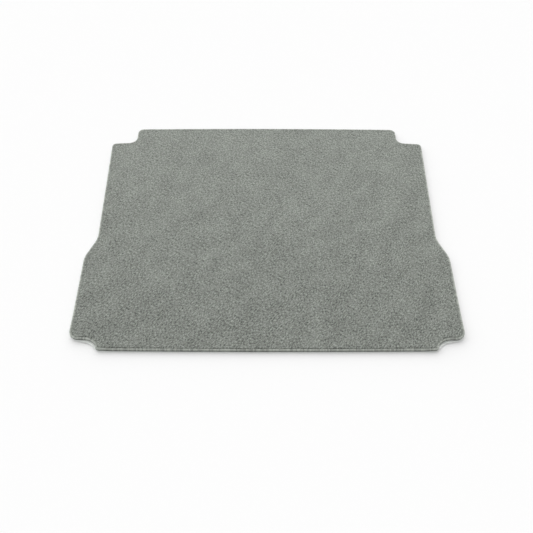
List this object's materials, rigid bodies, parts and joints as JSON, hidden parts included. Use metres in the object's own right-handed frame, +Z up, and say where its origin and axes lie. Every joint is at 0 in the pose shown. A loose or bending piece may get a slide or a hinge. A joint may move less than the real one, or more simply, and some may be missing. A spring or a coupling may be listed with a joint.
{
  "type": "car back panel carpet",
  "caption": "Flat grey-green pile carpet for a car's rear load floor, with notched corners, a stitched yarn edge binding and a pale felt backing that shows as a narrow ledge all round.",
  "frame": {"origin": "middle of the underside, at the bounding box's bottom centre", "axes": "+Z up out of the pile, +Y towards the back seats, -Y towards the tailgate, +X across the car"},
  "size_m": [1.0166, 0.8482, 0.011],
  "materials": {
    "backing_felt": "very pale needled felt, matt and slightly fibrous",
    "carpet_pile": "short dense cut pile, mottled grey-green, matt",
    "binding_yarn": "overlocked yarn, close stitches side by side, matt"
  },
  "bodies": {
    "root": {"backing_pad": "backing_felt", "carpet_pile": "carpet_pile", "edge_binding": "binding_yarn"}
  },
  "joints": []
}
